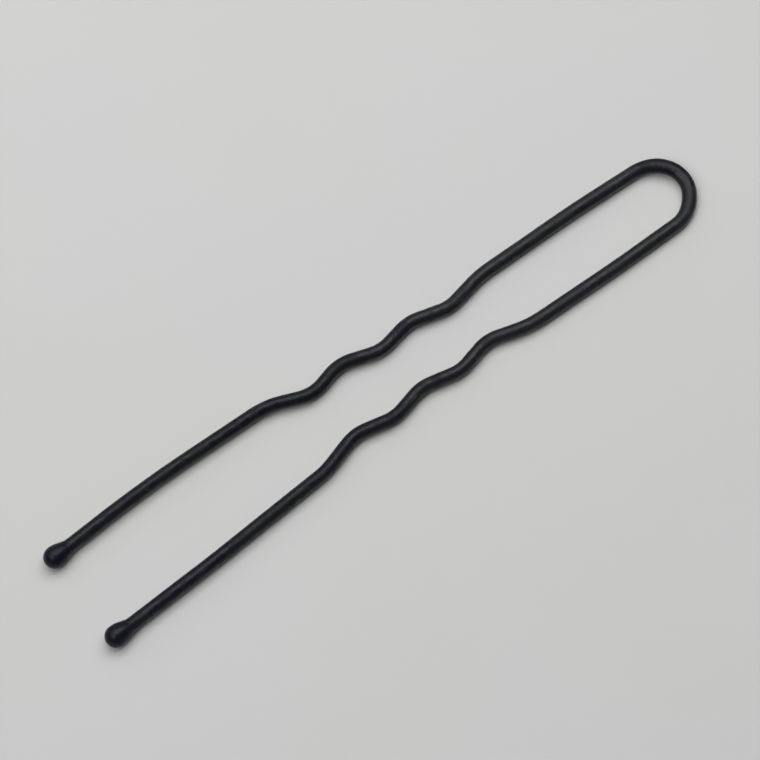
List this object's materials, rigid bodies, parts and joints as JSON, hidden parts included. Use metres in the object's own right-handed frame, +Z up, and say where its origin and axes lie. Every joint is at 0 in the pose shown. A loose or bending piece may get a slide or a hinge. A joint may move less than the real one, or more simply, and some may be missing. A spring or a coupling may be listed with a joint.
{
  "type": "hairpin",
  "caption": "Long U-shaped hairpin of black lacquered round wire, with a narrow bow, crimped legs that grip the hair and a small ball tip on each end.",
  "frame": {"origin": "on the surface that the pin lies on, under the middle of its length and width", "axes": "+X along the pin towards the bow, +Y towards the left leg, +Z up from the surface"},
  "size_m": [0.065, 0.011, 0.0019],
  "materials": {
    "lacquered_wire": "satin black lacquer",
    "tip_resin": "smooth black cured resin"
  },
  "bodies": {
    "root": {"wire": "lacquered_wire", "ball_tip_left": "tip_resin", "ball_tip_right": "tip_resin"}
  },
  "joints": []
}
